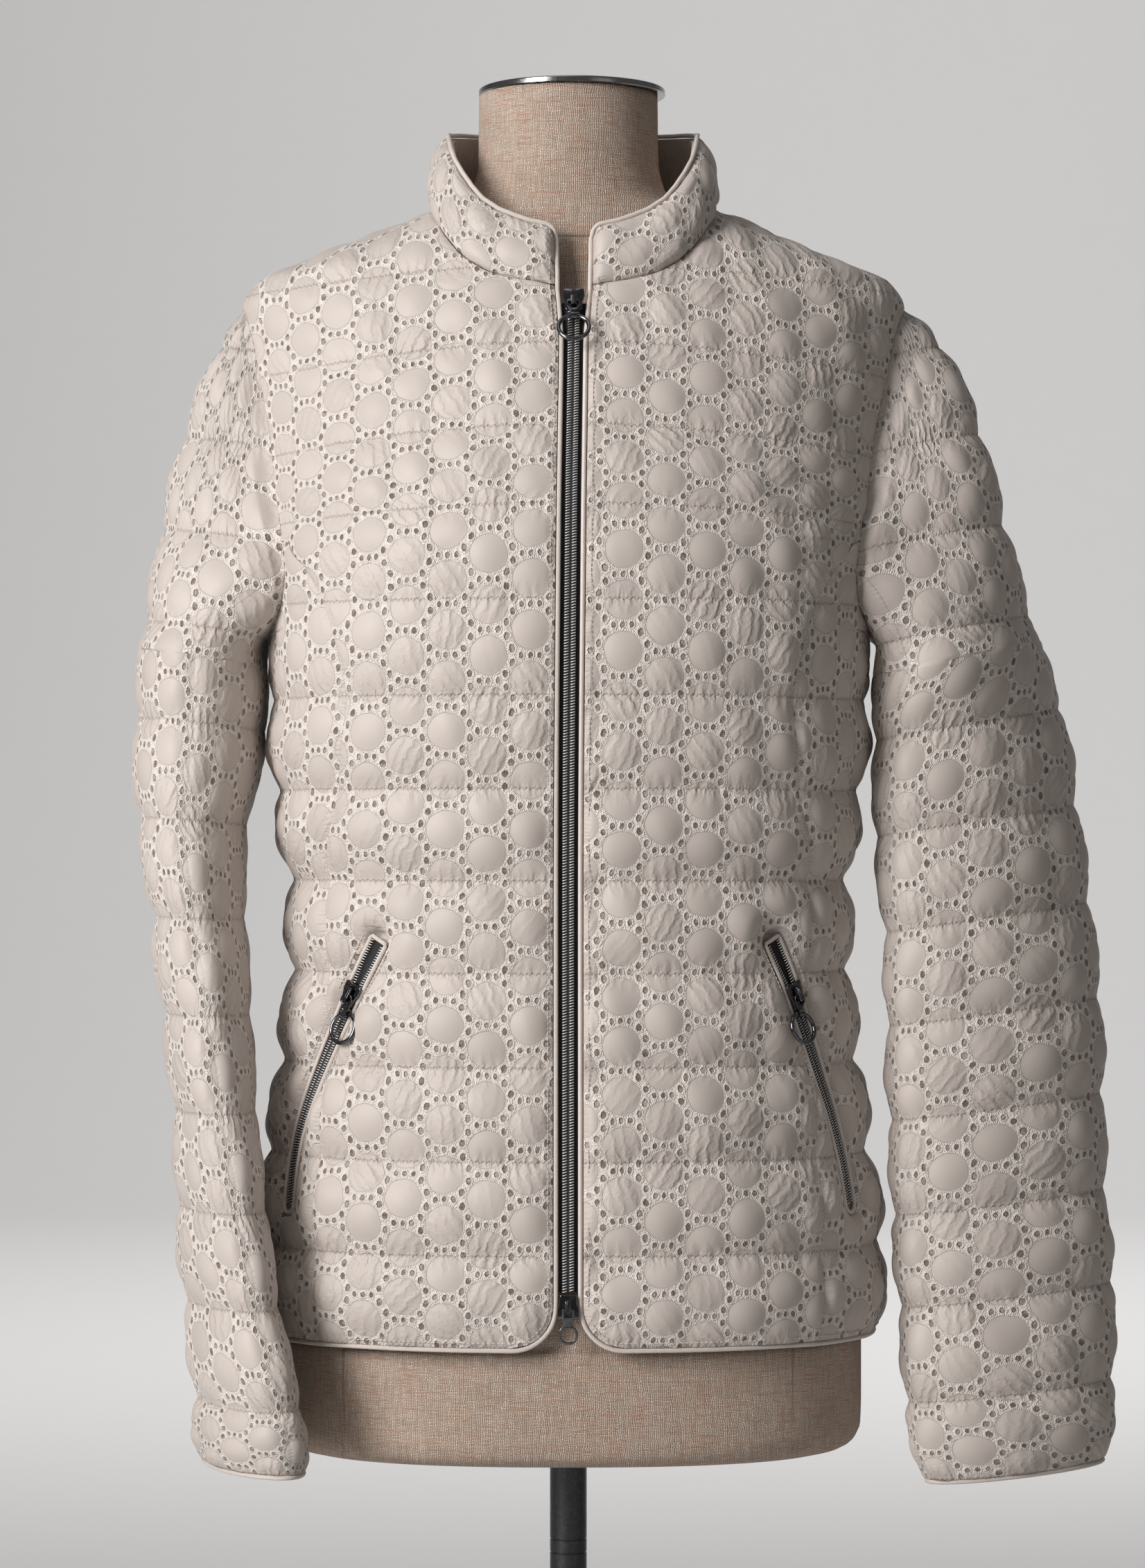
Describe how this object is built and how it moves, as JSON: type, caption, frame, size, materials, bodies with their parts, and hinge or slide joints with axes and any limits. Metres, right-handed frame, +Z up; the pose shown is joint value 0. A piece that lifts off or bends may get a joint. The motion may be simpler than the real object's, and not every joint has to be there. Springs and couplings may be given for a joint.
{
  "type": "quilted puffer jacket on a limbless dress form with a counter stand",
  "caption": "Zipped, channel-quilted jacket of circle-patterned eyelet cloth with stand collar and slanted zip pockets, worn by a limbless linen dress form on a pole with a round base.",
  "frame": {"origin": "middle of the stand's base, on its underside", "axes": "+Z up, the jacket's front towards -Y, the wearer's left towards +X"},
  "size_m": [0.5375, 0.3, 1.0513],
  "materials": {
    "shell": "matt eyelet cloth, quilted over thin wadding, warm greige",
    "lining": "smooth lining with a soft sheen",
    "piping": "smooth bias binding",
    "zip_tape": "woven tape in shade",
    "nickel": "polished black nickel",
    "linen": "coarse linen weave",
    "cap": "turned bright steel",
    "steel": "dark lacquered steel"
  },
  "bodies": {
    "stand_and_jacket": {"front_l": "shell", "front_r": "shell", "side_front_l": "shell", "side_front_r": "shell", "back": "shell", "upper_sleeve_l": "shell", "under_sleeve_l": "shell", "upper_sleeve_r": "shell", "under_sleeve_r": "shell", "collar": "shell", "collar_lining": "lining", "edge_binding": "piping", "cuff_binding_l": "piping", "cuff_binding_r": "piping", "pocket_lip_l": "piping", "pocket_lip_r": "piping", "zip_tape_l": "zip_tape", "zip_tape_r": "zip_tape", "pocket_tape_l": "zip_tape", "pocket_tape_r": "zip_tape", "zip_chain": "nickel", "pocket_chain_l": "nickel", "pocket_chain_r": "nickel", "top_slider": "nickel", "bottom_slider": "nickel", "pocket_l_slider": "nickel", "pocket_r_slider": "nickel", "form_body": "linen", "neck_cap": "cap", "pole": "steel", "base": "steel"},
    "top_link": {"top_link": "nickel"},
    "top_ring": {"top_ring": "nickel"},
    "bottom_tab": {"bottom_tab": "nickel"},
    "pocket_l_link": {"pocket_l_link": "nickel"},
    "pocket_l_ring": {"pocket_l_ring": "nickel"},
    "pocket_r_link": {"pocket_r_link": "nickel"},
    "pocket_r_ring": {"pocket_r_ring": "nickel"}
  },
  "joints": [
    {"name": "top_link_swing", "type": "hinge", "parent": "stand_and_jacket", "child": "top_link", "pos_m": [0.00299, -0.08874, 0.92438], "axis": [-1, 0, 0], "range_deg": [0, 105]},
    {"name": "top_ring_swing", "type": "hinge", "parent": "top_link", "child": "top_ring", "pos_m": [0.00299, -0.09207, 0.91602], "axis": [-1, 0, 0], "range_deg": [0, 70]},
    {"name": "bottom_tab_swing", "type": "hinge", "parent": "stand_and_jacket", "child": "bottom_tab", "pos_m": [0, -0.1252, 0.3876], "axis": [-1, 0, 0], "range_deg": [0, 105]},
    {"name": "pocket_l_link_swing", "type": "hinge", "parent": "stand_and_jacket", "child": "pocket_l_link", "pos_m": [0.12398, -0.08236, 0.55153], "axis": [-0.7312, -0.6822, 0], "range_deg": [0, 105]},
    {"name": "pocket_l_ring_swing", "type": "hinge", "parent": "pocket_l_link", "child": "pocket_l_ring", "pos_m": [0.12441, -0.08282, 0.54255], "axis": [-0.7312, -0.6822, 0], "range_deg": [0, 70]},
    {"name": "pocket_r_link_swing", "type": "hinge", "parent": "stand_and_jacket", "child": "pocket_r_link", "pos_m": [-0.11852, -0.08711, 0.55159], "axis": [-0.7773, 0.6291, 0], "range_deg": [0, 105]},
    {"name": "pocket_r_ring_swing", "type": "hinge", "parent": "pocket_r_link", "child": "pocket_r_ring", "pos_m": [-0.11891, -0.08759, 0.54261], "axis": [-0.7773, 0.6291, 0], "range_deg": [0, 70]}
  ]
}
